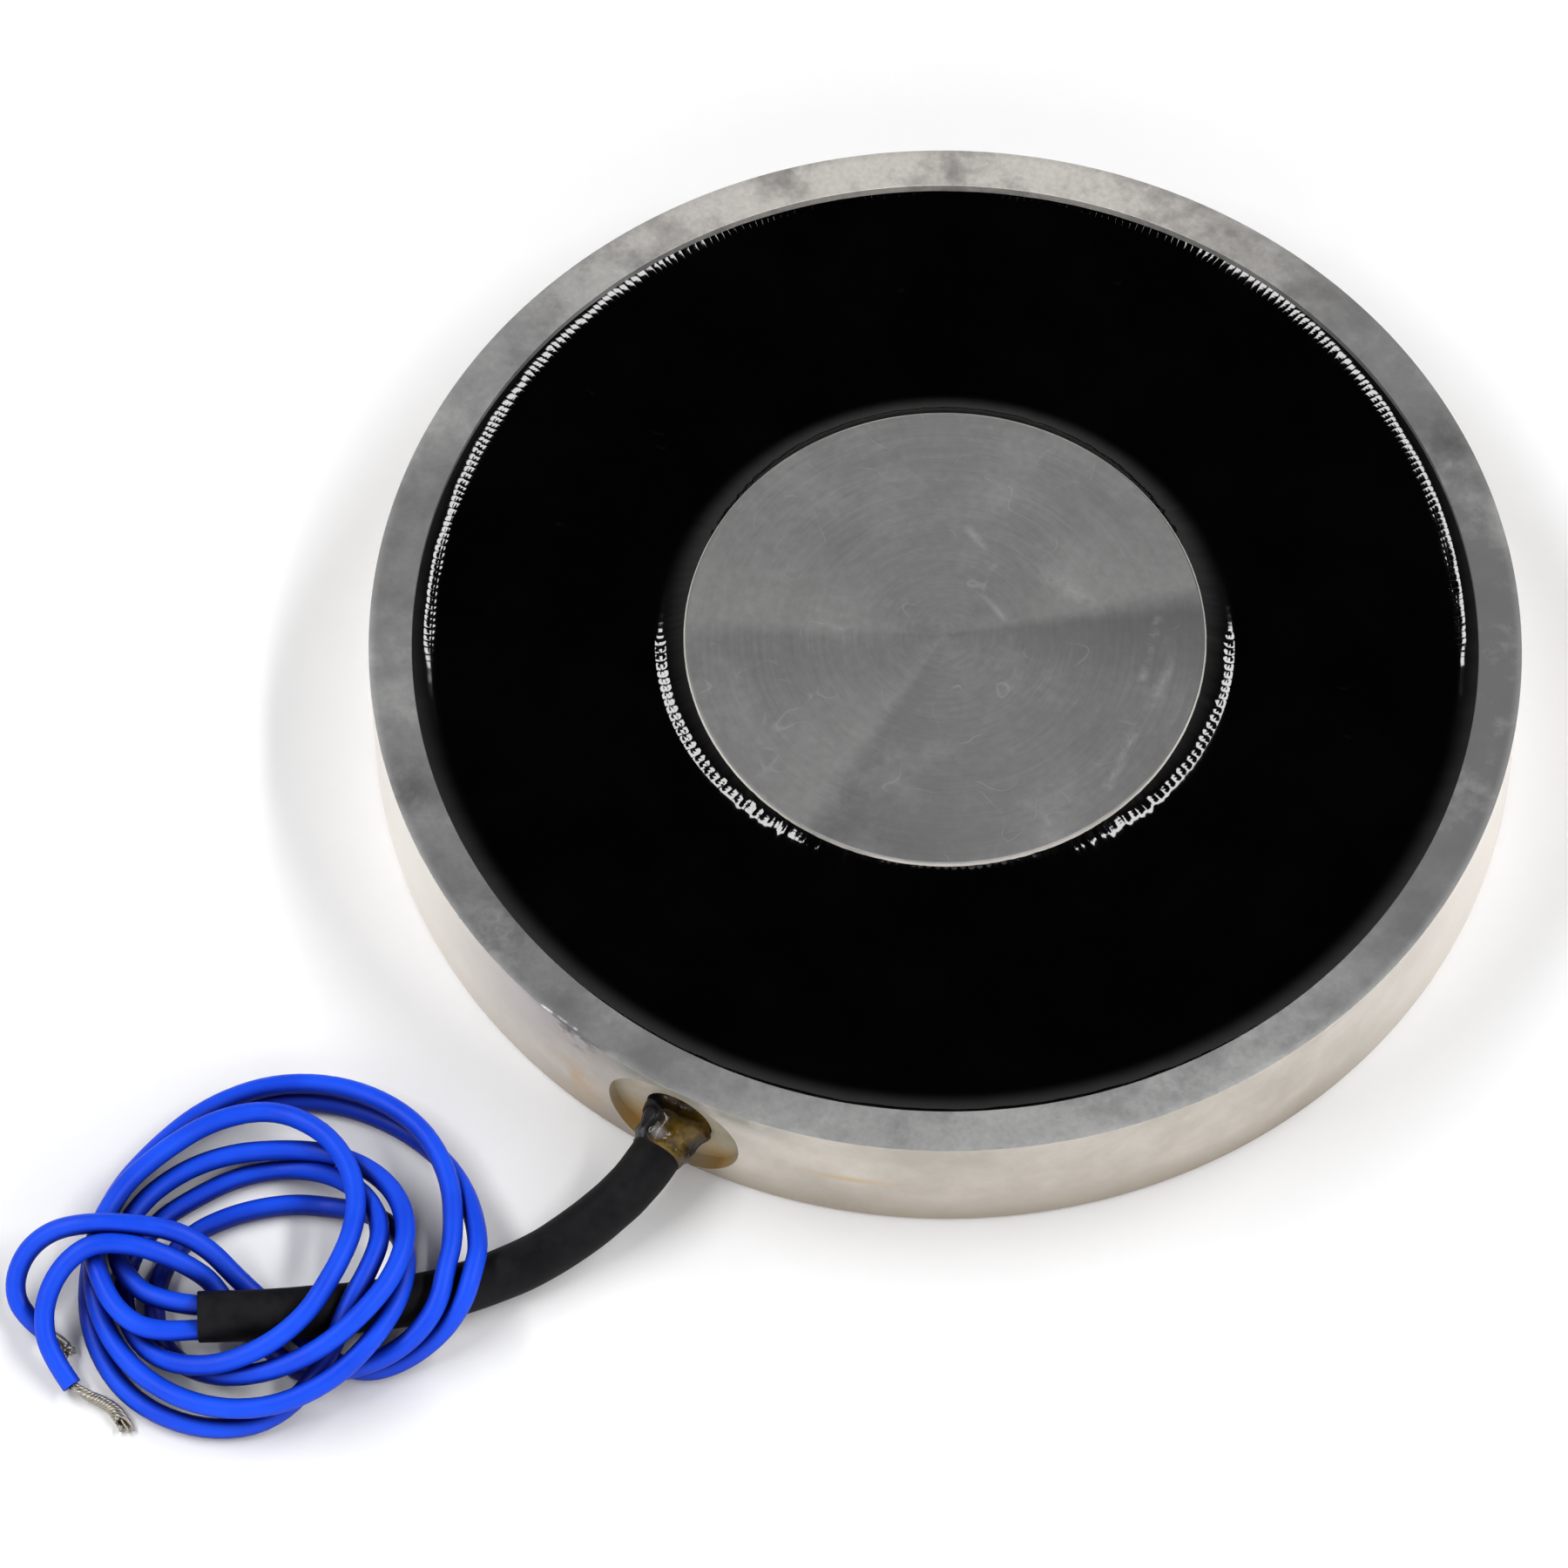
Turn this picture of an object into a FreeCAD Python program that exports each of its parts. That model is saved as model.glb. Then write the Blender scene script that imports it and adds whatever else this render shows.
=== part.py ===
import FreeCAD, Part

import math
import os

# Flat round lifting electromagnet: a steel pot with a potted coil, and two leads
# that leave in a sleeve and end in a loose hank. Millimetres.
# The origin is the centre of the back face, +Z points out of the pole face and
# the leads leave along -Y.

# Pot, turned in one piece with its pole
body_diameter = 80.0
body_height = 10.5
rim_wall = 3.0
pole_diameter = 36.3
base_thickness = 3.0
back_edge_chamfer = 0.25
rim_edge_chamfer = 0.1
pole_edge_chamfer = 0.4
groove_corner_radius = 0.6

# Fixing thread in the middle of the back, drilled to its core size
thread_core_diameter = 5.0
thread_depth = 6.0
thread_mouth_chamfer = 0.6
drill_point_angle = 118.0

# Lead exit through the rim
lead_hole_lift = 1.6  # axis above the groove floor
lead_drill_overrun = 1.0  # past the rim's inner wall
spot_face_diameter = 10.5
spot_face_depth = 1.1

# Coil
bobbin_clearance = 0.15  # to the pole
bobbin_wall = 0.6
flange_thickness = 0.6
flange_margin = 0.4  # beyond the taped winding
tape_thickness = 0.2
start_slot_width = 1.0
start_slot_land = 0.12  # left beside the hub
tail_diameter = 0.5
tail_fan = 5.0  # degrees from a splice to where its tail turns in
finish_tail_fan = 7.0  # degrees from its splice to where the finish tail meets the winding
start_slot_fan = 12.0  # degrees from its splice to the start tail's slot
start_tail_lead = 2.0  # degrees before its slot where the start tail reaches full height

# Resin
resin_recess = 0.45  # below the faces of pole and rim
resin_cover = 1.3  # over the bobbin
border_width = 1.6  # of its raised borders along pole and rim
bank_width = 0.6  # of the slope from a border to the level
bank_rise = 0.25

# Leads and their splices to the winding
lead_diameter = 1.4
lead_gap = 0.1  # between the two leads in the sleeve
sleeve_diameter = 3.5
sleeve_inset = 1.0  # its inner end, outside the rim's inner wall
glue_gap = 0.75  # round the sleeve in the lead hole
glue_film = 0.15  # under the sleeve
glue_slope = 15.0  # of the glue's face, which is sunk at the top
collar_length = 1.0  # of the glue that has run out along the sleeve, inside the rim
collar_root = 0.55  # its thickness at the spot face
collar_tip = 0.15
splice_diameter = 2.4
splice_length = 8.0
splice_clearance = 0.5  # to the bobbin and the rim
splice_lift = 0.3  # above the groove floor
splice_start_angle = 7.5  # from the exit, round the groove
root_bend_lead = 1.0  # outside the middle of the channel, where a lead turns into it
splice_run_in = 2.1  # straight lead before its splice
strand_diameter = 0.7
strand_straight = 1.5

# Hank of leads, on the floor beside the pot
hank_centre_x = -20.0
hank_centre_out = 20.0  # from the rim
hank_outer_radius = 14.4
hank_inner_radius = 4.7
hank_height = 6.6
hank_chamfer = 2.2
tunnel_clearance = 0.4  # round the sleeve
tunnel_end_gap = 0.15  # beyond the sleeve's end

arc_share = 0.45  # of the shorter run, taken up by each bend of a cord

body_radius = body_diameter / 2
pole_radius = pole_diameter / 2
rim_inner_radius = body_radius - rim_wall
resin_level = body_height - resin_recess

lead_channel = splice_diameter + 2 * splice_clearance
channel_radius = rim_inner_radius - lead_channel / 2

bobbin_bore = pole_radius + bobbin_clearance
bobbin_top = resin_level - resin_cover
hub_radius = bobbin_bore + bobbin_wall
flange_radius = rim_inner_radius - lead_channel
winding_foot = base_thickness + flange_thickness
winding_top = bobbin_top - flange_thickness
tape_radius = flange_radius - flange_margin
winding_radius = tape_radius - tape_thickness

lead_hole_diameter = sleeve_diameter + 2 * glue_gap
lead_hole_height = base_thickness + lead_hole_lift
spot_face_radius = body_radius - spot_face_depth
sleeve_root = rim_inner_radius + sleeve_inset
sleeve_height = lead_hole_height - glue_gap + glue_film

splice_height = base_thickness + splice_lift + splice_diameter / 2
splice_end_angle = splice_start_angle + 2 * math.degrees(math.asin(splice_length / 2 / channel_radius))

origin = FreeCAD.Vector(0, 0, 0)
up = FreeCAD.Vector(0, 0, 1)
outward = FreeCAD.Vector(0, -1, 0)


def turned(outline):
    # Revolves (radius, height) corners about Z. A pair of points is an arc: its middle and its end.
    edges = []
    start = FreeCAD.Vector(outline[0][0], 0, outline[0][1])
    for step in outline[1:] + outline[:1]:
        if isinstance(step[0], tuple):
            middle = FreeCAD.Vector(step[0][0], 0, step[0][1])
            end = FreeCAD.Vector(step[1][0], 0, step[1][1])
            edges.append(Part.Arc(start, middle, end).toShape())
        else:
            end = FreeCAD.Vector(step[0], 0, step[1])
            edges.append(Part.LineSegment(start, end).toShape())
        start = end
    return Part.Face(Part.Wire(edges)).revolve(origin, up, 360)


def ring(inner, outer, foot, top):
    return turned([(inner, foot), (outer, foot), (outer, top), (inner, top)])


def exit_bar(diameter, near, far):
    # Round bar on the axis of the lead hole, between two distances from the pot's axis
    return Part.makeCylinder(diameter / 2, far - near, outward * near + up * lead_hole_height, outward)


def groove_point(radius, angle, height):
    # Point round the groove, at an angle from the exit that grows towards +X
    turn = math.radians(angle)
    return FreeCAD.Vector(radius * math.sin(turn), -radius * math.cos(turn), height)


def route(points):
    # Straight runs joined by tangent arcs, each as large as its two runs allow
    edges = []
    radii = []
    start = points[0]
    for before, corner, after in zip(points, points[1:], points[2:]):
        run_in = corner - before
        run_out = after - corner
        half_turn = run_in.getAngle(run_out) / 2
        tangent = arc_share * min(run_in.Length, run_out.Length)
        radius = tangent / math.tan(half_turn)
        run_in.normalize()
        run_out.normalize()
        inward = (run_out - run_in).normalize()
        first = corner - run_in * tangent
        middle = corner + inward * (radius / math.cos(half_turn) - radius)
        last = corner + run_out * tangent
        edges.append(Part.LineSegment(start, first).toShape())
        edges.append(Part.Arc(first, middle, last).toShape())
        radii.append(radius)
        start = last
    edges.append(Part.LineSegment(start, points[-1]).toShape())
    return Part.Wire(edges), radii


def cord(points, diameter):
    path, radii = route(points)
    section = Part.Circle(points[0], points[1] - points[0], diameter / 2)
    print("cord", round(diameter, 2), "long", round(path.Length, 1), "radii", [round(r, 1) for r in radii])
    return path.makePipeShell([Part.Wire(section.toShape())], True, False)


def outside(x, out, height):
    # Point at a distance out from the rim, on the side of the exit
    return FreeCAD.Vector(x, -body_radius - out, height)


# Pot


def pot_blank():
    corner = groove_corner_radius
    hollow = corner * (1 - math.sqrt(0.5))
    rim_corner = (rim_inner_radius - hollow, base_thickness + hollow)
    pole_corner = (pole_radius + hollow, base_thickness + hollow)
    return turned([
        (0, 0),
        (body_radius - back_edge_chamfer, 0),
        (body_radius, back_edge_chamfer),
        (body_radius, body_height - rim_edge_chamfer),
        (body_radius - rim_edge_chamfer, body_height),
        (rim_inner_radius, body_height),
        (rim_inner_radius, base_thickness + corner),
        (rim_corner, (rim_inner_radius - corner, base_thickness)),
        (pole_radius + corner, base_thickness),
        (pole_corner, (pole_radius, base_thickness + corner)),
        (pole_radius, body_height - pole_edge_chamfer),
        (pole_radius - pole_edge_chamfer, body_height),
        (0, body_height),
    ])


def thread_hole():
    core = thread_core_diameter / 2
    drill_point = core / math.tan(math.radians(drill_point_angle / 2))
    return turned([
        (0, 0),
        (core + thread_mouth_chamfer, 0),
        (core, thread_mouth_chamfer),
        (core, thread_depth),
        (0, thread_depth + drill_point),
    ])


def make_pot():
    spot_face = exit_bar(spot_face_diameter, spot_face_radius, body_radius)
    lead_hole = exit_bar(lead_hole_diameter, rim_inner_radius - lead_drill_overrun, body_radius)
    return pot_blank().cut([thread_hole(), spot_face, lead_hole])


# Coil and splices


def splice_ends(side):
    start = groove_point(channel_radius, side * splice_start_angle, splice_height)
    end = groove_point(channel_radius, side * splice_end_angle, splice_height)
    return start, end


def make_lead_root(side):
    # Out of the sleeve, round the corner into the groove, and halfway into the splice
    start, end = splice_ends(side)
    along = (end - start).normalize()
    offset = side * (lead_diameter + lead_gap) / 2
    bend = channel_radius + root_bend_lead
    return cord([
        FreeCAD.Vector(offset, -sleeve_root, sleeve_height),
        FreeCAD.Vector(offset, -bend, sleeve_height),
        start - along * splice_run_in,
        (start + end) / 2,
    ], lead_diameter)


def make_finish_tail(side):
    # From the splice straight in to the outer layer of the winding
    start, end = splice_ends(side)
    angle = side * splice_end_angle
    return cord([
        (start + end) / 2,
        end + (end - start).normalize() * splice_clearance,
        groove_point(flange_radius, angle + side * tail_fan, splice_height),
        groove_point(winding_radius - tail_diameter, angle + side * finish_tail_fan, splice_height),
    ], tail_diameter)


def start_slot_angle(side):
    return side * (splice_end_angle + start_slot_fan)


def make_start_tail(side):
    # From the splice up the outside of the coil, and in along the flange's slot to the hub
    start, end = splice_ends(side)
    angle = side * splice_end_angle
    slot_angle = start_slot_angle(side)
    slot_height = bobbin_top - flange_thickness / 2
    climb = slot_height - splice_height
    return cord([
        (start + end) / 2,
        end + (end - start).normalize() * splice_clearance,
        groove_point(channel_radius, angle + side * tail_fan, splice_height + climb / 3),
        groove_point(channel_radius, slot_angle - side * start_tail_lead, slot_height - climb / 5),
        groove_point(flange_radius + splice_clearance, slot_angle, slot_height),
        groove_point(hub_radius + 3 * tail_diameter, slot_angle, slot_height),
        groove_point(hub_radius + tail_diameter, slot_angle, winding_top - tail_diameter),
    ], tail_diameter)


def make_bobbin(slot_angle):
    # Two flanges on a tube, relieved over the groove's corner and slotted for the start tail
    corner = groove_corner_radius
    blank = turned([
        (bobbin_bore, base_thickness + corner),
        (bobbin_bore + corner, base_thickness),
        (flange_radius, base_thickness),
        (flange_radius, winding_foot),
        (hub_radius, winding_foot),
        (hub_radius, winding_top),
        (flange_radius, winding_top),
        (flange_radius, bobbin_top),
        (bobbin_bore, bobbin_top),
    ])
    slot_mouth = flange_radius + flange_margin
    slot_length = slot_mouth - hub_radius - start_slot_land
    slot_corner = FreeCAD.Vector(-start_slot_width / 2, -slot_mouth, winding_top)
    slot = Part.makeBox(start_slot_width, slot_length, flange_thickness, slot_corner)
    slot.rotate(origin, up, slot_angle)
    return blank.cut(slot)


def make_splice(side, lead_root, tail):
    start, end = splice_ends(side)
    sleeve = Part.makeCylinder(splice_diameter / 2, splice_length, start, end - start)
    return sleeve.cut([lead_root, tail])


# Resin and glue


def make_resin(pot, inside):
    # Poured round everything in the groove, with a raised border that slopes to the level at pole and rim
    border_height = resin_level + bank_rise
    slope_height = resin_level + bank_rise * (1 - math.sqrt(0.5))
    pole_bank = pole_radius + border_width
    rim_bank = rim_inner_radius - border_width
    poured = turned([
        (pole_radius, base_thickness),
        (rim_inner_radius, base_thickness),
        (rim_inner_radius, border_height),
        (rim_bank, border_height),
        ((rim_bank - bank_width / 2, slope_height), (rim_bank - bank_width, resin_level)),
        (pole_bank + bank_width, resin_level),
        ((pole_bank + bank_width / 2, slope_height), (pole_bank, border_height)),
        (pole_radius, border_height),
    ])
    bobbin_gap = turned([
        (pole_radius, base_thickness),
        (bobbin_bore + groove_corner_radius, base_thickness),
        (bobbin_bore, base_thickness + groove_corner_radius),
        (bobbin_bore, bobbin_top),
        (pole_radius, bobbin_top),
    ])
    drill_end = exit_bar(lead_hole_diameter, rim_inner_radius - lead_drill_overrun, rim_inner_radius)
    return poured.fuse(drill_end).cut([pot, bobbin_gap] + inside)


def make_glue(sleeve, lead_roots):
    # Fills the lead hole, with a sloping face that is deepest above the sleeve, and a collar on the sleeve
    plug = exit_bar(lead_hole_diameter, rim_inner_radius, spot_face_radius)
    hole_foot = outward * spot_face_radius + up * (lead_hole_height - lead_hole_diameter / 2)
    reach = 2 * lead_hole_diameter
    scoop_corner = hole_foot + outward * reach - FreeCAD.Vector(reach, 0, reach)
    scoop = Part.makeBox(2 * reach, reach, 2 * reach, scoop_corner)
    scoop.rotate(hole_foot, FreeCAD.Vector(1, 0, 0), -glue_slope)
    collar_foot = outward * spot_face_radius + up * sleeve_height
    root_radius = sleeve_diameter / 2 + collar_root
    tip_radius = sleeve_diameter / 2 + collar_tip
    collar = Part.makeCone(root_radius, tip_radius, collar_length, collar_foot, outward)
    kept = Part.makeCylinder(root_radius, rim_wall, collar_foot - outward * rim_wall, outward)
    return plug.cut(scoop.cut(kept)).fuse(collar).cut([sleeve] + lead_roots)


# Free leads


def make_hank():
    # Outer shape of the wound turns, with a tunnel for the sleeve that lies among them
    turns = turned([
        (hank_inner_radius + hank_chamfer, 0),
        (hank_outer_radius - hank_chamfer, 0),
        (hank_outer_radius, hank_chamfer),
        (hank_outer_radius, hank_height - hank_chamfer),
        (hank_outer_radius - hank_chamfer, hank_height),
        (hank_inner_radius + hank_chamfer, hank_height),
        (hank_inner_radius, hank_height - hank_chamfer),
        (hank_inner_radius, hank_chamfer),
    ])
    turns.translate(outside(hank_centre_x, hank_centre_out, 0))
    before, end = sleeve_points[-2:]
    tunnel_end = end + (end - before).normalize() * tunnel_end_gap
    return turns.cut(cord(sleeve_points[:-1] + [tunnel_end], sleeve_diameter + 2 * tunnel_clearance))


sleeve_floor = sleeve_diameter / 2
sleeve_points = [
    FreeCAD.Vector(0, -sleeve_root, sleeve_height),
    outside(0.0, 1.2, sleeve_height),
    outside(-0.6, 4.9, 3.25),
    outside(-2.2, 8.5, 2.25),
    outside(-4.3, 12.3, sleeve_floor),
    outside(-7.4, 16.1, sleeve_floor),
    outside(-9.7, 18.3, 1.9),
    outside(-13.3, 21.3, 2.5),
    outside(-17.5, 24.6, 3.5),
    outside(-21.6, 27.0, 3.6),
]


def make_strands(lead_points, tip):
    # Bare strands, straight on from the end of their lead and then bent
    before, end = lead_points[-2:]
    straight = end + (end - before).normalize() * strand_straight
    return cord([end, straight, tip], strand_diameter)


lead_end_1_points = [
    outside(-28.7, 23.7, 5.1),
    outside(-31.4, 25.0, 5.1),
    outside(-33.5, 26.4, 4.4),
    outside(-34.4, 28.2, 3.3),
    outside(-34.0, 29.9, 2.2),
    outside(-32.8, 30.7, 1.3),
    outside(-31.4, 30.5, 0.8),
]
lead_end_2_points = [
    outside(-28.0, 24.9, 4.9),
    outside(-30.2, 26.1, 5.1),
    outside(-31.3, 27.7, 4.5),
    outside(-31.7, 29.5, 3.6),
    outside(-31.3, 31.5, 2.6),
    outside(-29.8, 33.3, 1.6),
    outside(-27.4, 34.4, 0.8),
]

lead_root_1 = make_lead_root(1)
lead_root_2 = make_lead_root(-1)
finish_tail = make_finish_tail(1)
start_tail = make_start_tail(-1)

pot_body = make_pot()
coil_bobbin = make_bobbin(start_slot_angle(-1))
coil_winding = ring(hub_radius, winding_radius, winding_foot, winding_top).fuse([finish_tail, start_tail])
winding_tape = ring(winding_radius, tape_radius, winding_foot, winding_top).cut([finish_tail, start_tail])
splice_sleeve_1 = make_splice(1, lead_root_1, finish_tail)
splice_sleeve_2 = make_splice(-1, lead_root_2, start_tail)
lead_sleeve = cord(sleeve_points, sleeve_diameter)
splices = [splice_sleeve_1, splice_sleeve_2]
lead_roots = [lead_root_1, lead_root_2]
potted = [coil_bobbin, coil_winding, winding_tape] + splices + lead_roots
lead_hank = make_hank()

pieces = {
    "pot_body": pot_body,
    "coil_bobbin": coil_bobbin,
    "coil_winding": coil_winding,
    "winding_tape": winding_tape,
    "splice_sleeve_1": splice_sleeve_1,
    "splice_sleeve_2": splice_sleeve_2,
    "lead_root_1": lead_root_1,
    "lead_root_2": lead_root_2,
    "potting_resin": make_resin(pot_body, potted),
    "exit_glue": make_glue(lead_sleeve, lead_roots),
    "lead_sleeve": lead_sleeve,
    "lead_hank": lead_hank,
    "lead_end_1": cord(lead_end_1_points, lead_diameter).cut(lead_hank),
    "lead_end_2": cord(lead_end_2_points, lead_diameter).cut(lead_hank),
    "strand_tip_1": make_strands(lead_end_1_points, outside(-28.9, 30.6, 0.4)),
    "strand_tip_2": make_strands(lead_end_2_points, outside(-22.6, 35.8, 0.4)),
}

os.makedirs("parts", exist_ok=True)
for name, piece in pieces.items():
    print(name, "solids", len(piece.Solids), "volume", round(piece.Volume, 2), "valid", piece.isValid())
    piece.exportStep(f"parts/{name}.step")
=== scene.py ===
import math
import random

import bmesh
import bpy
from mathutils import Matrix, Vector, noise


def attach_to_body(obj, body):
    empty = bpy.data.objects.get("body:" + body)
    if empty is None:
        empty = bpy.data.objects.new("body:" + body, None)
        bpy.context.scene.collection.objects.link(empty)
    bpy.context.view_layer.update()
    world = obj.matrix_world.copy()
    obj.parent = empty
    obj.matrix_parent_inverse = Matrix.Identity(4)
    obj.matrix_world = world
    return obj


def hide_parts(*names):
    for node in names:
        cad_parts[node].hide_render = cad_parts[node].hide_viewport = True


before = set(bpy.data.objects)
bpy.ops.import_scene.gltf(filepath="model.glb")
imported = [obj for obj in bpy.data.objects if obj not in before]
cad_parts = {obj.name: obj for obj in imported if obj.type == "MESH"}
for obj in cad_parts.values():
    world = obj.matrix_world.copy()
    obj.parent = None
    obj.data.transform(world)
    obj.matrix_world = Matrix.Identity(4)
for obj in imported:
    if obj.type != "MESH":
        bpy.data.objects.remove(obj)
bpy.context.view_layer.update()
random.seed(7)

mm = 0.001
turn = math.radians(28.5)  # the pot is turned this far from the picture's axes


def fromPicture(right, back, up):
    # picture axes to the part's axes
    return Vector((right * math.cos(turn) - back * math.sin(turn),
                   right * math.sin(turn) + back * math.cos(turn), up))


# Node helpers

class Nodes:
    # a material's node tree, with short calls
    def __init__(self, name):
        self.material = bpy.data.materials.new(name)
        self.material.use_nodes = True
        self.tree = self.material.node_tree
        self.shader = self.tree.nodes["Principled BSDF"]

    def add(self, kind, **values):
        node = self.tree.nodes.new(kind)
        for key, value in values.items():
            setattr(node, key, value)
        return node

    def link(self, source, target):
        self.tree.links.new(source, target)

    def put(self, target, value):
        if hasattr(value, "is_output"):
            self.link(value, target)
        else:
            target.default_value = value

    def place(self):
        return self.add("ShaderNodeTexCoord").outputs["Object"]

    def math(self, operation, first, second=0.0, clamp=False):
        node = self.add("ShaderNodeMath", operation=operation, use_clamp=clamp)
        self.put(node.inputs[0], first)
        self.put(node.inputs[1], second)
        return node.outputs[0]

    def times(self, first, second, clamp=False):
        return self.math("MULTIPLY", first, second, clamp)

    def largest(self, values):
        found = values[0]
        for value in values[1:]:
            found = self.math("MAXIMUM", found, value)
        return found

    def split(self, vector):
        node = self.add("ShaderNodeSeparateXYZ")
        self.link(vector, node.inputs[0])
        return node.outputs

    def join(self, x, y, z):
        node = self.add("ShaderNodeCombineXYZ")
        for socket, value in zip(node.inputs, (x, y, z)):
            self.put(socket, value)
        return node.outputs[0]

    def distance(self, x, y):
        # length of a flat offset
        return self.math("SQRT", self.math("ADD", self.times(x, x), self.times(y, y)))

    def polar(self):
        # radius, angle and height about the pot's axis
        x, y, z = self.split(self.place())
        return self.distance(x, y), self.math("ARCTAN2", y, x), z

    def toward(self, angle, degrees):
        # 1 in a direction round the axis, -1 in the opposite one
        return self.math("COSINE", self.math("SUBTRACT", angle, math.radians(degrees)))

    def noise(self, scale, detail=3.0, rough=0.55, vector=None):
        node = self.add("ShaderNodeTexNoise")
        self.link(vector if vector is not None else self.place(), node.inputs["Vector"])
        node.inputs["Scale"].default_value = scale
        node.inputs["Detail"].default_value = detail
        node.inputs["Roughness"].default_value = rough
        return node.outputs["Fac"]

    def grooves(self, across, angle, fine, slow, detail, rough, seed=0.0):
        # noise drawn out round the axis, as a turning tool leaves it
        place = self.join(self.times(across, fine), self.times(angle, slow), seed)
        return self.noise(1.0, detail, rough, place)

    def ramp(self, value, low, high, start=0.0, end=1.0):
        node = self.add("ShaderNodeMapRange")
        self.put(node.inputs["Value"], value)
        for name, number in (("From Min", low), ("From Max", high), ("To Min", start), ("To Max", end)):
            node.inputs[name].default_value = number
        return node.outputs[0]

    def putColour(self, target, colour):
        self.put(target, colour if hasattr(colour, "is_output") else (*colour, 1.0))

    def mix(self, factor, first, second):
        node = self.add("ShaderNodeMix", data_type="RGBA")
        self.put(node.inputs["Factor"], factor)
        self.putColour(node.inputs[6], first)  # the node's two colour inputs
        self.putColour(node.inputs[7], second)
        return node.outputs[2]

    def near(self, point, reach):
        # 1 at a point of the part in mm, falling to 0 at a distance
        node = self.add("ShaderNodeVectorMath", operation="DISTANCE")
        self.link(self.place(), node.inputs[0])
        node.inputs[1].default_value = Vector(point) * mm
        return self.ramp(node.outputs["Value"], 0.0, reach * mm, 1.0, 0.0)

    def around(self, angle, start):
        # angle on from a start in degrees, in radians from 0 to a full turn
        node = self.add("ShaderNodeMath", operation="WRAP")
        self.put(node.inputs[0], self.math("SUBTRACT", angle, math.radians(start)))
        node.inputs[1].default_value = 2 * math.pi
        node.inputs[2].default_value = 0.0
        return node.outputs[0]

    def sector(self, angle, rise, fall):
        # 0 at no angle, up to 1 over a rise and back to 0 over a fall
        return self.times(self.ramp(angle, 0.0, rise), self.ramp(angle, rise, fall, 1.0, 0.0))

    def streak(self, start, end, width):
        # 1 on a line between two points seen from above, in mm of the picture, falling to 0 at a width
        first, last = (fromPicture(*point, 0.0) * mm for point in (start, end))
        along = last - first
        x, y, _ = self.split(self.place())
        x = self.math("SUBTRACT", x, first.x)
        y = self.math("SUBTRACT", y, first.y)
        share = self.math("ADD", self.times(x, along.x / along.length_squared),
                          self.times(y, along.y / along.length_squared), True)
        x = self.math("SUBTRACT", x, self.times(share, along.x))
        y = self.math("SUBTRACT", y, self.times(share, along.y))
        return self.ramp(self.distance(x, y), 0.0, width * mm, 1.0, 0.0)

    def scratches(self, scale, width, seed):
        # thin curved lines, broken up
        vector = self.add("ShaderNodeVectorMath", operation="ADD")
        self.link(self.place(), vector.inputs[0])
        vector.inputs[1].default_value = (seed, seed, seed)
        level = self.noise(scale, 1.0, 0.4, vector.outputs[0])
        line = self.ramp(self.math("ABSOLUTE", self.math("SUBTRACT", level, 0.5)), 0.0, width, 1.0, 0.0)
        return self.times(line, self.ramp(self.noise(scale * 1.7, 2.0), 0.48, 0.62))

    def bump(self, height, strength, distance, before=None):
        node = self.add("ShaderNodeBump")
        self.link(height, node.inputs["Height"])
        node.inputs["Strength"].default_value = strength
        node.inputs["Distance"].default_value = distance * mm
        if before is not None:
            self.link(before, node.inputs["Normal"])
        return node.outputs[0]

    def finish(self, colour, rough, normal=None, fixed=None):
        self.putColour(self.shader.inputs["Base Color"], colour)
        self.put(self.shader.inputs["Roughness"], rough)
        if normal is not None:
            self.link(normal, self.shader.inputs["Normal"])
        for name, value in (fixed or {}).items():
            self.shader.inputs[name].default_value = value
        return self.material


# Materials of the pot

rimFace = {
    # the lighter and warmer tones that follow the angle are painted light; the darker tone by angle is
    # painted shade and also darkens the grain
    "plain": (0.26, 0.26, 0.26), "light": (0.42, 0.42, 0.417), "paintedWarmLight": (0.75, 0.71, 0.66),
    "grainAndPaintedShade": (0.15, 0.15, 0.15), "blotch": (0.17, 0.17, 0.17), "pale": (0.62, 0.61, 0.6),
    "spot": (0.1, 0.1, 0.1), "bare": (0.9, 0.9, 0.89),
    "paintedLightAt": -44.0, "paintedWarmLightAt": 118.5, "paintedShadeAt": 20.0,  # degrees round the axis
    # place and reach
    "nickShade": ((-9.5, -37.6, 10.5), 3.4),
    "spots": [((24.3, 30.4, 10.5), 4.5), ((-16.1, -34.8, 10.5), 5.0), ((-26.8, -28.4, 10.5), 4.5)],
    "scratch": ((-27.8, -28.7), (-25.4, -30.6), 0.12),  # start, end and width
}


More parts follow.
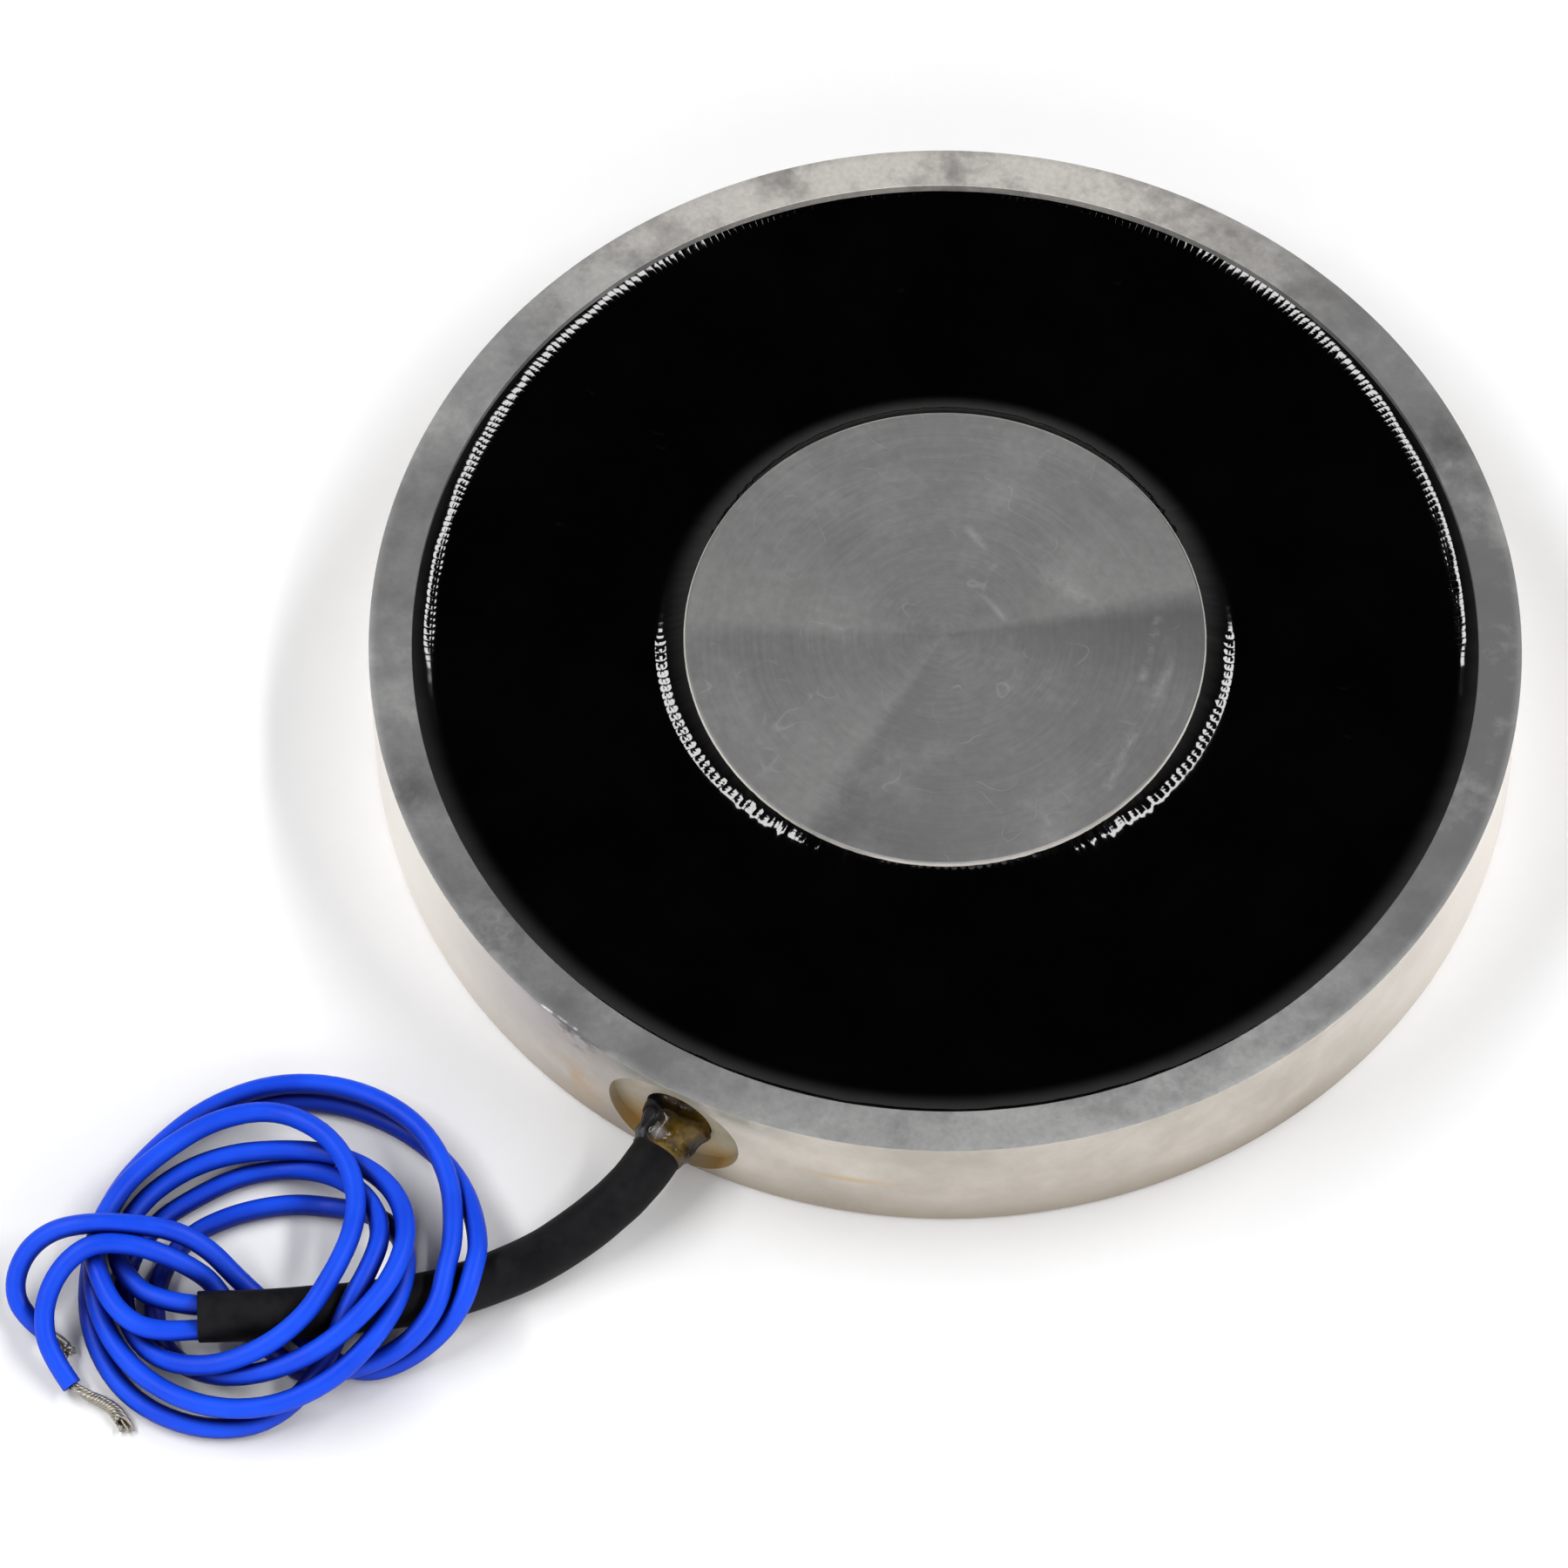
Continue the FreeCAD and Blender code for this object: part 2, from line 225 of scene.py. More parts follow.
def groundSteel():
    # ground face of the rim, blotchy and fine-grained, with painted light at the front and back, warmer at
    # the back, and painted shade on the right and beside the nick
    n = Nodes("groundSteel")
    radius, angle, _ = n.polar()
    blotch = n.noise(140.0, 5.0, 0.7)
    grain = n.noise(2600.0, 2.0, 0.6)
    # painted light and shade by angle: lighter towards the front and back, warm and light at the back,
    # darker on the right
    paintedLight = n.math("COSINE", n.times(n.math("SUBTRACT", angle, math.radians(rimFace["paintedLightAt"])), 2.0))
    colour = n.mix(n.ramp(paintedLight, -0.3, 1.0), rimFace["plain"], rimFace["light"])
    colour = n.mix(n.ramp(n.toward(angle, rimFace["paintedWarmLightAt"]), 0.65, 0.98), colour, rimFace["paintedWarmLight"])
    colour = n.mix(n.ramp(n.toward(angle, rimFace["paintedShadeAt"]), 0.72, 1.0, 0.0, 0.8), colour, rimFace["grainAndPaintedShade"])
    colour = n.mix(n.ramp(blotch, 0.34, 0.52, 0.6, 0.0), colour, rimFace["blotch"])
    colour = n.mix(n.ramp(blotch, 0.54, 0.7, 0.0, 0.3), colour, rimFace["pale"])
    colour = n.mix(n.ramp(grain, 0.3, 0.7, 0.2, 0.0), colour, rimFace["grainAndPaintedShade"])
    # painted shade beside the nick
    colour = n.mix(n.times(n.near(*rimFace["nickShade"]), 0.6), colour, rimFace["spot"])
    spots = n.largest([n.near(*spot) for spot in rimFace["spots"]])
    spots = n.times(spots, n.ramp(n.noise(320.0, 4.0, 0.7), 0.35, 0.6))
    colour = n.mix(n.times(spots, 0.8), colour, rimFace["spot"])
    scratch = n.times(n.streak(*rimFace["scratch"]), n.ramp(grain, 0.4, 0.6, 0.1, 0.7))
    colour = n.mix(scratch, colour, rimFace["bare"])
    normal = n.bump(n.grooves(radius, angle, 9000.0, 6.0, 2.0, 0.6), 0.12, 0.02)
    normal = n.bump(grain, 0.15, 0.03, normal)
    return n.finish(colour, n.ramp(blotch, 0.3, 0.7, 0.44, 0.54), normal, {"Metallic": 0.6})


poleFace = {
    # the fan's light tone is painted light and its dark tone painted shade, which also darkens the fine
    # grain
    "dark": (0.205, 0.205, 0.205), "light": (0.255, 0.255, 0.253), "broad": (0.19, 0.19, 0.19),
    "paintedFanLight": (0.36, 0.36, 0.355), "paintedFanShadeAndGrain": (0.12, 0.12, 0.12), "cloud": (0.33, 0.33, 0.327),
    "rubbed": (0.48, 0.48, 0.475), "scratch": (0.7, 0.7, 0.69),
    # rubbed marks: start and end in mm of the picture, and width
    "marks": [((16.0, -1.8), (11.0, -12.0), 0.55), ((14.8, 1.1), (13.6, -3.6), 0.45),
              ((-10.3, 1.4), (-7.2, 0.5), 0.3), ((2.8, 3.1), (4.2, 1.2), 0.35),
              ((7.4, 4.7), (10.3, 2.2), 0.9), ((1.8, 8.6), (3.4, 5.6), 0.5)],
}


def turnedSteel():
    # pole face, turned: faint rings, a painted fan of reflected light and shade, rubbed marks and fine
    # scratches
    n = Nodes("turnedSteel")
    radius, angle, _ = n.polar()
    rings = n.grooves(radius, angle, 3600.0, 2.0, 3.0, 0.7)
    broad = n.grooves(radius, angle, 700.0, 1.2, 2.0, 0.5, 3.0)
    cloud = n.noise(130.0, 5.0, 0.7)
    fine = n.noise(1500.0, 3.0, 0.6)
    colour = n.mix(n.ramp(rings, 0.3, 0.7), poleFace["dark"], poleFace["light"])
    colour = n.mix(n.ramp(broad, 0.4, 0.65, 0.0, 0.35), colour, poleFace["broad"])
    ragged = n.math("ADD", angle, n.ramp(n.noise(150.0, 4.0, 0.6), 0.3, 0.7, -0.03, 0.03))
    mirrored = n.times(ragged, -1.0)
    # painted light: the fan's light sectors
    light = n.largest([n.times(n.sector(n.around(mirrored, -268.0), 0.1, 0.8), 0.7),
                       n.sector(n.around(ragged, 34.0), 0.12, 0.7),
                       n.sector(n.around(mirrored, -208.5), 0.1, 0.8)])
    light = n.times(light, n.ramp(radius, 1.0 * mm, 9.0 * mm, 0.15, 0.5))
    colour = n.mix(light, colour, poleFace["paintedFanLight"])
    # painted shade: the fan's dark sectors
    dark = n.largest([n.sector(n.around(mirrored, -40.0), 0.13, 0.55),
                      n.sector(n.around(ragged, 265.0), 0.1, 1.1)])
    dark = n.times(dark, n.ramp(radius, 1.0 * mm, 17.0 * mm, 0.15, 1.0))
    colour = n.mix(n.times(dark, 0.75), colour, poleFace["paintedFanShadeAndGrain"])
    colour = n.mix(n.ramp(cloud, 0.5, 0.72, 0.0, 0.45), colour, poleFace["cloud"])
    colour = n.mix(n.ramp(fine, 0.3, 0.7, 0.25, 0.0), colour, poleFace["paintedFanShadeAndGrain"])
    rubbed = n.largest([n.streak(*mark) for mark in poleFace["marks"]])
    rubbed = n.times(rubbed, n.ramp(n.noise(450.0, 5.0, 0.75), 0.42, 0.62))
    colour = n.mix(n.times(rubbed, 0.42), colour, poleFace["rubbed"])
    colour = n.mix(n.times(n.scratches(230.0, 0.006, 0.7), 0.14), colour, poleFace["scratch"])
    tangent = n.add("ShaderNodeTangent", direction_type="RADIAL", axis="Z")
    n.link(tangent.outputs[0], n.shader.inputs["Tangent"])
    rough = n.ramp(cloud, 0.3, 0.7, 0.46, 0.54)
    return n.finish(colour, rough, n.bump(rings, 0.08, 0.02), {"Metallic": 0.6, "Anisotropic": 0.25})


plating = {
    # side is painted light at both sides, low is painted shade towards the bottom, and scuff also paints
    # shade under the nick
    "dark": (0.47, 0.43, 0.375), "light": (0.66, 0.615, 0.56), "low": (0.37, 0.315, 0.25),
    "side": (0.93, 0.885, 0.83), "stain": (0.6, 0.42, 0.22), "worn": (0.36, 0.345, 0.3),
    "scuffAndShade": (0.2, 0.185, 0.155),
    "paintedSideLightAt": 28.5, "wornAt": -88.0,  # degrees round the axis
    # place and reach
    "streakSpot": ((12.6, -38.0, 5.1), 4.0), "stainSpot": ((-7.8, -39.2, 3.4), 3.6),
    "scuffAndShadeSpot": ((-7.8, -39.2, 10.2), 2.2),
}


def nickel():
    # plated wall: warm and cloudy, with painted light at both sides and painted shade towards the bottom,
    # stained beside the exit, worn above it, and scuffed with painted shade at the nick
    n = Nodes("nickel")
    _, angle, height = n.polar()
    cloud = n.noise(90.0, 5.0, 0.65)
    colour = n.mix(n.ramp(cloud, 0.38, 0.66), plating["dark"], plating["light"])
    # painted shade towards the bottom, where the wall reflects the shaded floor
    colour = n.mix(n.ramp(height, 0.0, 3.5 * mm, 0.85, 0.0), colour, plating["low"])
    # painted light at both sides
    side = n.math("ABSOLUTE", n.toward(angle, plating["paintedSideLightAt"]))
    colour = n.mix(n.ramp(side, 0.6, 0.95, 0.0, 0.88), colour, plating["side"])
    streakHeight = plating["streakSpot"][0][2]
    level = n.math("ABSOLUTE", n.math("SUBTRACT", height, streakHeight * mm))
    streak = n.times(n.near(*plating["streakSpot"]), n.ramp(level, 0.1 * mm, 0.5 * mm, 1.0, 0.0))
    stain = n.times(n.near(*plating["stainSpot"]), n.ramp(n.noise(420.0, 4.0), 0.38, 0.58))
    colour = n.mix(n.times(n.largest([stain, streak]), 0.7), colour, plating["stain"])
    aside = n.math("ABSOLUTE", n.math("SUBTRACT", angle, math.radians(plating["wornAt"])))
    worn = n.times(n.ramp(height, 8.3 * mm, 9.9 * mm), n.ramp(aside, 0.1, 0.22, 1.0, 0.0))
    worn = n.times(worn, n.ramp(n.noise(500.0, 4.0), 0.2, 0.5))
    colour = n.mix(worn, colour, plating["worn"])
    # scuff at the nick: rougher, and darker with painted shade under the edge
    scuffAndShade = n.times(n.near(*plating["scuffAndShadeSpot"]), n.ramp(n.noise(700.0, 4.0, 0.7), 0.42, 0.56))
    colour = n.mix(n.times(scuffAndShade, 1.2, True), colour, plating["scuffAndShade"])
    normal = n.bump(n.grooves(height, angle, 6000.0, 3.0, 2.0, 0.6), 0.06, 0.02)
    normal = n.bump(n.noise(700.0, 3.0), 0.08, 0.03, normal)
    rough = n.math("ADD", n.ramp(cloud, 0.3, 0.7, 0.48, 0.6), n.times(scuffAndShade, 0.3))
    return n.finish(colour, rough, normal, {"Metallic": 0.8})


exitCut = {
    "light": (0.6, 0.55, 0.45), "dark": (0.52, 0.46, 0.34), "stain": (0.62, 0.4, 0.12),
    "shade": (0.25, 0.22, 0.14),
    # place and reach
    "stains": [((-3.2, -39.2, 1.4), 3.4), ((3.4, -39.2, 1.2), 2.6)], "shadeSpot": ((4.2, -39.0, 5.0), 3.4),
}


def boredSteel():
    # cut walls of the exit, with glue stains low on both sides and painted shade on the right
    n = Nodes("boredSteel")
    cloud = n.noise(500.0, 4.0, 0.6)
    colour = n.mix(n.ramp(cloud, 0.35, 0.7), exitCut["light"], exitCut["dark"])
    stain = n.largest([n.near(*spot) for spot in exitCut["stains"]])
    colour = n.mix(n.times(stain, 0.9), colour, exitCut["stain"])
    # painted shade on the right of the bore
    colour = n.mix(n.times(n.near(*exitCut["shadeSpot"]), 0.6), colour, exitCut["shade"])
    normal = n.bump(n.noise(2500.0, 2.0), 0.2, 0.02)
    return n.finish(colour, n.ramp(cloud, 0.3, 0.7, 0.45, 0.6), normal, {"Metallic": 0.6})


# Materials of the fillings and leads

beadRows = {
    # radius of the wall, distance off it at the sides, share of that lost in the middle,
    # beads in a full turn, half width of a bead, sharpness of the gaps
    "rim": {"wall": 37.0, "off": -1.3, "narrow": 0.4, "count": 440.0, "reach": 0.5, "gap": 0.4},
    "pole": {"wall": 18.0, "off": 1.75, "narrow": 0.0, "count": 200.0, "reach": 0.38, "gap": 0.85},
}
pottingBlack = {"deep": (0.0006, 0.0006, 0.0007), "soft": (0.001, 0.001, 0.0012)}


def beadRow(n, row, facing, radius, angle):
    # a row of beads along half a border, where facing is above 0
    off = n.times(n.ramp(facing, 0.0, 1.0, 1.0, 1.0 - row["narrow"]), row["off"] * mm)
    off = n.times(n.math("SUBTRACT", 1.0, n.times(facing, facing)), off)
    aside = n.math("ABSOLUTE", n.math("SUBTRACT", n.math("SUBTRACT", radius, row["wall"] * mm), off))
    share = n.ramp(aside, 0.1 * mm, row["reach"] * mm, 1.0, 0.0)
    share = n.times(share, n.ramp(facing, -0.05, 0.03))
    share = n.times(share, n.ramp(facing, 0.0, 0.9, 1.0, 0.35))
    wave = n.math("ABSOLUTE", n.math("SINE", n.times(angle, row["count"] / 2)))
    return n.times(n.math("POWER", wave, row["gap"]), share)


def epoxy():
    # black potting, mirror-smooth, with regular beads along the slopes to its borders
    n = Nodes("epoxy")
    radius, angle, _ = n.polar()
    uneven = n.math("ADD", angle, n.ramp(n.noise(300.0, 2.0), 0.3, 0.7, -0.006, 0.006))
    back = n.math("SINE", n.math("SUBTRACT", angle, turn))
    front = n.times(back, -1.0)
    beads = n.math("ADD", beadRow(n, beadRows["rim"], back, radius, uneven),
                   beadRow(n, beadRows["pole"], front, radius, uneven))
    beads = n.times(beads, n.ramp(n.noise(240.0, 3.0), 0.35, 0.65, 0.5, 1.3))
    normal = n.bump(beads, 1.0, 0.03)
    normal = n.bump(n.noise(45.0, 2.0), 0.03, 0.3, normal)
    cloud = n.noise(160.0, 3.0)
    colour = n.mix(n.ramp(cloud, 0.4, 0.7), pottingBlack["deep"], pottingBlack["soft"])
    return n.finish(colour, n.ramp(cloud, 0.4, 0.7, 0.05, 0.08), normal, {"IOR": 1.47})


amber = {
    "deep": (0.05, 0.026, 0.002), "clear": (0.17, 0.105, 0.012), "paintedHoleShade": (0.012, 0.005, 0.001),
    "black": (0.004, 0.004, 0.006), "glint": (0.2, 0.2, 0.21),
    # place and reach
    "paintedHoleShadeSpot": ((0.6, -38.6, 7.0), 2.8), "glintSpot": ((-0.3, -41.2, 5.9), 0.6),
    "blackSpots": [((-2.5, -40.4, 5.2), 3.3), ((2.4, -40.6, 3.4), 2.2)],
}


def amberGlue():
    # amber where it is clear, nearly black on the left and low on the right, with painted shade in the hole
    # and a painted glint
    n = Nodes("amberGlue")
    cloud = n.noise(900.0, 3.0)
    colour = n.mix(n.ramp(cloud, 0.35, 0.65), amber["deep"], amber["clear"])
    # painted shade in the hole
    colour = n.mix(n.times(n.near(*amber["paintedHoleShadeSpot"]), 1.4, True), colour, amber["paintedHoleShade"])
    dark = n.largest([n.near(*spot) for spot in amber["blackSpots"]])
    colour = n.mix(n.times(dark, 2.2, True), colour, amber["black"])
    # painted glint of reflected light
    colour = n.mix(n.times(n.near(*amber["glintSpot"]), 1.2, True), colour, amber["glint"])
    normal = n.bump(n.noise(1300.0, 2.0), 0.5, 0.12)
    return n.finish(colour, n.ramp(cloud, 0.3, 0.7, 0.12, 0.3), normal, {"Specular IOR Level": 0.3})


def shrinkBlack():
    # dull shrink tube, mottled and finely rough
    n = Nodes("shrinkBlack")
    cloud = n.noise(420.0, 5.0, 0.65)
    colour = n.mix(n.ramp(cloud, 0.35, 0.7), (0.0025, 0.002, 0.003), (0.013, 0.012, 0.013))
    normal = n.bump(n.noise(900.0, 4.0, 0.65), 0.25, 0.06)
    return n.finish(colour, n.ramp(cloud, 0.35, 0.7, 0.55, 0.75), normal, {"Specular IOR Level": 0.12})


def blueWire():
    # silicone insulation: deep blue, satin, with painted shade where turns lie close together
    n = Nodes("blueWire")
    cloud = n.noise(220.0, 3.0, 0.5)
    dirt = n.noise(1100.0, 3.0, 0.6)
    colour = n.mix(n.ramp(cloud, 0.3, 0.7), (0.0015, 0.052, 0.7), (0.004, 0.082, 0.88))
    colour = n.mix(n.ramp(dirt, 0.72, 0.8, 0.0, 0.35), colour, (0.002, 0.015, 0.22))
    # painted shade from occlusion between close turns
    paintedOcclusionShade = n.add("ShaderNodeAmbientOcclusion", samples=8)
    paintedOcclusionShade.inputs["Distance"].default_value = 9.0 * mm
    colour = n.mix(n.ramp(paintedOcclusionShade.outputs["AO"], 0.3, 0.85, 1.0, 0.0), colour, (0.001, 0.004, 0.16))
    normal = n.bump(n.noise(1600.0, 2.0), 0.08, 0.03)
    return n.finish(colour, n.ramp(cloud, 0.3, 0.7, 0.42, 0.52), normal, {"Specular IOR Level": 0.22})


def tinnedStrand():
    n = Nodes("tinnedStrand")
    cloud = n.noise(2200.0, 3.0)
    colour = n.mix(n.ramp(cloud, 0.35, 0.65), (0.3, 0.29, 0.26), (0.45, 0.4, 0.32))
    return n.finish(colour, n.ramp(cloud, 0.3, 0.7, 0.3, 0.45), n.bump(cloud, 0.2, 0.03), {"Metallic": 0.9})


# Materials of what the resin hides

def nylon():
    n = Nodes("nylon")
    cloud = n.noise(180.0, 4.0)
    colour = n.mix(n.ramp(cloud, 0.35, 0.7), (0.62, 0.59, 0.5), (0.7, 0.68, 0.6))
    return n.finish(colour, n.ramp(cloud, 0.3, 0.7, 0.45, 0.6), n.bump(n.noise(900.0), 0.1, 0.04))


def copperTurns():
    # enamelled wire, laid in close turns round the axis
    n = Nodes("copperTurns")
    radius, _, height = n.polar()
    pitch = 0.5 * mm
    turns = n.math("ABSOLUTE", n.math("SINE", n.times(height, math.pi / pitch)))
    layers = n.math("ABSOLUTE", n.math("SINE", n.times(radius, math.pi / pitch)))
    wires = n.times(turns, layers)
    colour = n.mix(n.ramp(n.noise(400.0), 0.3, 0.7), (0.42, 0.13, 0.04), (0.56, 0.21, 0.08))
    return n.finish(colour, n.ramp(wires, 0.0, 1.0, 0.4, 0.25), n.bump(wires, 0.6, 0.25), {"Metallic": 1.0})


def yellowTape():
    n = Nodes("yellowTape")
    cloud = n.noise(250.0, 4.0)
    colour = n.mix(n.ramp(cloud, 0.35, 0.7), (0.7, 0.43, 0.03), (0.78, 0.52, 0.06))
    return n.finish(colour, n.ramp(cloud, 0.3, 0.7, 0.25, 0.4), n.bump(n.noise(600.0), 0.15, 0.08))


looks = {make.__name__: make() for make in (
    groundSteel, turnedSteel, nickel, boredSteel, epoxy, amberGlue, shrinkBlack, blueWire, tinnedStrand,
    nylon, copperTurns, yellowTape)}
print("materials", len(looks))


# Mesh helpers

def makeObject(name, bm, materials):
    mesh = bpy.data.meshes.new(name)
    bmesh.ops.recalc_face_normals(bm, faces=bm.faces)
    bm.to_mesh(mesh)
    bm.free()
    for face in mesh.polygons:
        face.use_smooth = True
    obj = bpy.data.objects.new(name, mesh)
    bpy.context.scene.collection.objects.link(obj)
    for key in materials:
        mesh.materials.append(looks[key])
    return obj


def settle(obj):
    # apply the object's modifiers to its mesh
    bpy.context.view_layer.update()
    graph = bpy.context.evaluated_depsgraph_get()
    mesh = bpy.data.meshes.new_from_object(obj.evaluated_get(graph))
    obj.modifiers.clear()
    obj.data = mesh


def stitch(bm, first, second, material=0):
    # one band of faces between two rings of the same count, or a fan from a single point
    count = max(len(first), len(second))
    for i in range(count):
        j = (i + 1) % count
        corners = [ring[k % len(ring)] for ring, k in ((first, i), (first, j), (second, j), (second, i))]
        unique = list(dict.fromkeys(corners))
        if len(unique) > 2:
            bm.faces.new(unique).material_index = material


def anglesRound(segments):
    return [2 * math.pi * i / segments for i in range(segments)]


def lathe(name, rows, materials, segments, closed=False):
    # rows: radius and height, as numbers or functions of the angle, and the material up to the next row
    bm = bmesh.new()
    rings = []
    for radius, height, _ in rows:
        ring = []
        for angle in anglesRound(segments):
            r = radius(angle) if callable(radius) else radius
            z = height(angle) if callable(height) else height
            ring.append(bm.verts.new((r * mm * math.cos(angle), r * mm * math.sin(angle), z * mm)))
            if radius == 0:
                break
        rings.append(ring)
    ends = rings[1:] + rings[:1] if closed else rings[1:]
    for first, second, row in zip(rings, ends, rows):
        stitch(bm, first, second, row[2])
    return makeObject(name, bm, materials)


def aheadAt(points, i):
    # direction of the line at one of its points
    return (points[min(i + 1, len(points) - 1)] - points[max(i - 1, 0)]).normalized()


def tubeMesh(bm, points, radius, segments, wave=None, caps=True):
    # round tube along points, carried without twist
    side = None
    rings = []
    for i, point in enumerate(points):
        ahead = aheadAt(points, i)
        if side is None:
            side = ahead.cross(Vector((0, 0, 1)))
        side = (side - ahead * side.dot(ahead)).normalized()
        lift = side.cross(ahead)
        ring = []
        for angle in anglesRound(segments):
            reach = radius * (1.0 if wave is None else wave(i, angle))
            place = point + side * reach * math.cos(angle)
            ring.append(bm.verts.new(place + lift * reach * math.sin(angle)))
        rings.append(ring)
    for first, second in zip(rings, rings[1:]):
        stitch(bm, first, second)
    if caps:
        bm.faces.new(rings[0])
        bm.faces.new(list(reversed(rings[-1])))
    return rings


def cordCurve(name, points, radius=0.0):
    # one smooth open spline on the route's points
    data = bpy.data.curves.new(name, "CURVE")
    data.dimensions = "3D"
    data.resolution_u = 6
    spline = data.splines.new("NURBS")
    spline.points.add(len(points) - 1)
    for target, point in zip(spline.points, points):
        target.co = (*point, 1.0)
    spline.order_u = 3
    spline.use_endpoint_u = True
    data.bevel_depth = radius
    data.bevel_resolution = 5
    data.use_fill_caps = True
    obj = bpy.data.objects.new(name, data)
    bpy.context.scene.collection.objects.link(obj)
    return obj


def pointsAlong(points):
    # points read from the route's own spline
    curve = cordCurve("route", points)
    bpy.context.view_layer.update()
    graph = bpy.context.evaluated_depsgraph_get()
    mesh = bpy.data.meshes.new_from_object(curve.evaluated_get(graph))
    found = [v.co.copy() for v in mesh.vertices]
    bpy.data.objects.remove(curve)
    return found


def wobble(angle, rate, seed):
    # slow random wave round the axis, which closes on itself
    return noise.noise(Vector((math.cos(angle) * rate, math.sin(angle) * rate, seed)))


def attach(piece, slotName, *nodes):
    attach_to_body(piece, "root")
    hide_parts(*nodes)
    return piece


# Pot

pot = {
    "radius": 40.0, "height": 10.5, "rimInner": 37.0, "pole": 18.15, "base": 3.0, "corner": 0.6,
    "edge": 0.06, "backEdge": 0.25, "poleEdge": 0.22, "innerEdge": 0.03, "segments": 360,
    # rings of the mesh, and their distances from the edges
    "backRings": (12.0, 26.0), "backMargin": 1.0, "wallRing": 5.0, "wallMargins": (0.1, 0.7),
    "rimMargins": (0.6, 1.5), "innerMargin": 0.3, "poleRings": (14.0, 9.0, 4.0, 1.0), "poleMargin": 0.7,
    "threadCore": 2.5, "threadMajor": 3.0, "threadPitch": 1.0, "threadDepth": 6.0, "threadSteps": 60,
    "threadEnd": 0.6, "threadFade": 0.5, "drillTip": 1.5, "mouth": 0.6,
    "exitLift": 4.6, "exitRadius": 2.5, "exitEnd": 36.0, "exitPast": 2.0, "exitSegments": 96,
    "spotLift": 5.05, "spotRadius": 5.0, "spotDepth": 1.1,
    "nickAngle": -101.0, "nickWidth": 4.0, "nickDepth": 0.06,
    "finishes": ("groundSteel", "turnedSteel", "nickel", "boredSteel"),
}
ground, face, wall, cut = range(len(pot["finishes"]))


def threadRadius(height):
    # M6 thread: flank height at an angle, cut away by the mouth's chamfer and fading at the end
    def at(angle):
        phase = (height / pot["threadPitch"] + angle / (2 * math.pi)) % 1.0
        flank = min(1.0, 1.3 * (1 - abs(2 * phase - 1)))
        fade = (pot["threadDepth"] - pot["threadEnd"] - height) / pot["threadFade"]
        fade = max(0.0, min(1.0, fade))
        reach = pot["threadCore"] + (pot["threadMajor"] - pot["threadCore"]) * flank * fade
        return max(reach, pot["threadCore"] + pot["mouth"] - height)
    return at


def nickAt(angle):
    # how far the rim's outer edge is dented at an angle, from 0 to 1
    off = math.degrees(angle) - pot["nickAngle"]
    off = (off + 180) % 360 - 180
    bell = max(0.0, 1 - (off / pot["nickWidth"]) ** 2)
    return bell * (0.6 + 0.6 * wobble(angle, 60.0, 2.0))


def nicked(start, share):
    # a radius or height of the rim's edge, less its share of the nick
    return lambda angle: start - share * nickAt(angle)


def threadRows():
    # drilled tip, thread and chamfered mouth
    core, depth, steps = pot["threadCore"], pot["threadDepth"], pot["threadSteps"]
    rows = [(0, depth + pot["drillTip"], cut), (core, depth, cut)]
    for i in range(1, steps):
        height = depth * (1 - i / steps)
        rows.append((threadRadius(height), height, cut))
    return rows + [(core + pot["mouth"], 0.0, wall)]


def rimRows():
    # back face, wall, outer edge with its nick, and the rim's face
    radius, top, edge, inner = pot["radius"], pot["height"], pot["edge"], pot["rimInner"]
    backEdge, nick = pot["backEdge"], pot["nickDepth"]
    low, high = pot["wallMargins"]
    rows = [(reach, 0.0, wall) for reach in pot["backRings"]]
    rows += [(radius - margin, 0.0, wall) for margin in (pot["backMargin"], backEdge)]
    rows += [(radius, height, wall) for height in (backEdge, backEdge + low, pot["wallRing"], top - high)]
    rows += [(nicked(radius, nick * 0.4), nicked(top - edge, 0.5), wall)]
    rows += [(nicked(radius - 0.3 * edge, nick), nicked(top - 0.3 * edge, 0.2), ground)]
    rows += [(nicked(radius - edge, nick * 1.4), top, ground)]
    rows += [(radius - margin, top, ground) for margin in pot["rimMargins"]]
    rows += [(inner + margin, top, ground) for margin in (pot["innerMargin"], pot["innerEdge"])]
    return rows + [(inner, top - pot["innerEdge"], ground)]


def grooveRows():
    # down the rim's inner wall, round both corners and up the pole
    inner, pole, base, corner = pot["rimInner"], pot["pole"], pot["base"], pot["corner"]
    rows = [(inner, base + corner, cut)]
    bends = [math.radians(90 * i / 4) for i in range(5)]
    for bend in bends[1:]:
        rows.append((inner - corner + corner * math.cos(bend), base + corner - corner * math.sin(bend), cut))
    for bend in bends:
        rows.append((pole + corner - corner * math.sin(bend), base + corner - corner * math.cos(bend), cut))
    return rows


def poleRows():
    # up over the pole's eased edge and in across its face
    top, pole, edge = pot["height"], pot["pole"], pot["poleEdge"]
    rows = [(pole, top - edge - 0.05, ground), (pole, top - edge, wall)]
    rows += [(pole - 0.5 * edge, top - 0.35 * edge, ground), (pole - edge, top, face)]
    return rows + [(reach, top, face) for reach in (pole - pot["poleMargin"], *pot["poleRings"], 0)]


def exitCutter(radius, lift, start):
    # round bar out along -Y at a height
    bm = bmesh.new()
    rings = []
    for out in (start, pot["radius"] + pot["exitPast"]):
        ring = []
        for angle in anglesRound(pot["exitSegments"]):
            place = Vector((radius * math.cos(angle), -out, lift + radius * math.sin(angle)))
            ring.append(bm.verts.new(place * mm))
        rings.append(ring)
    stitch(bm, rings[0], rings[1], cut)
    for ring in rings:
        bm.faces.new(ring).material_index = cut
    return makeObject("exitCutter", bm, pot["finishes"])


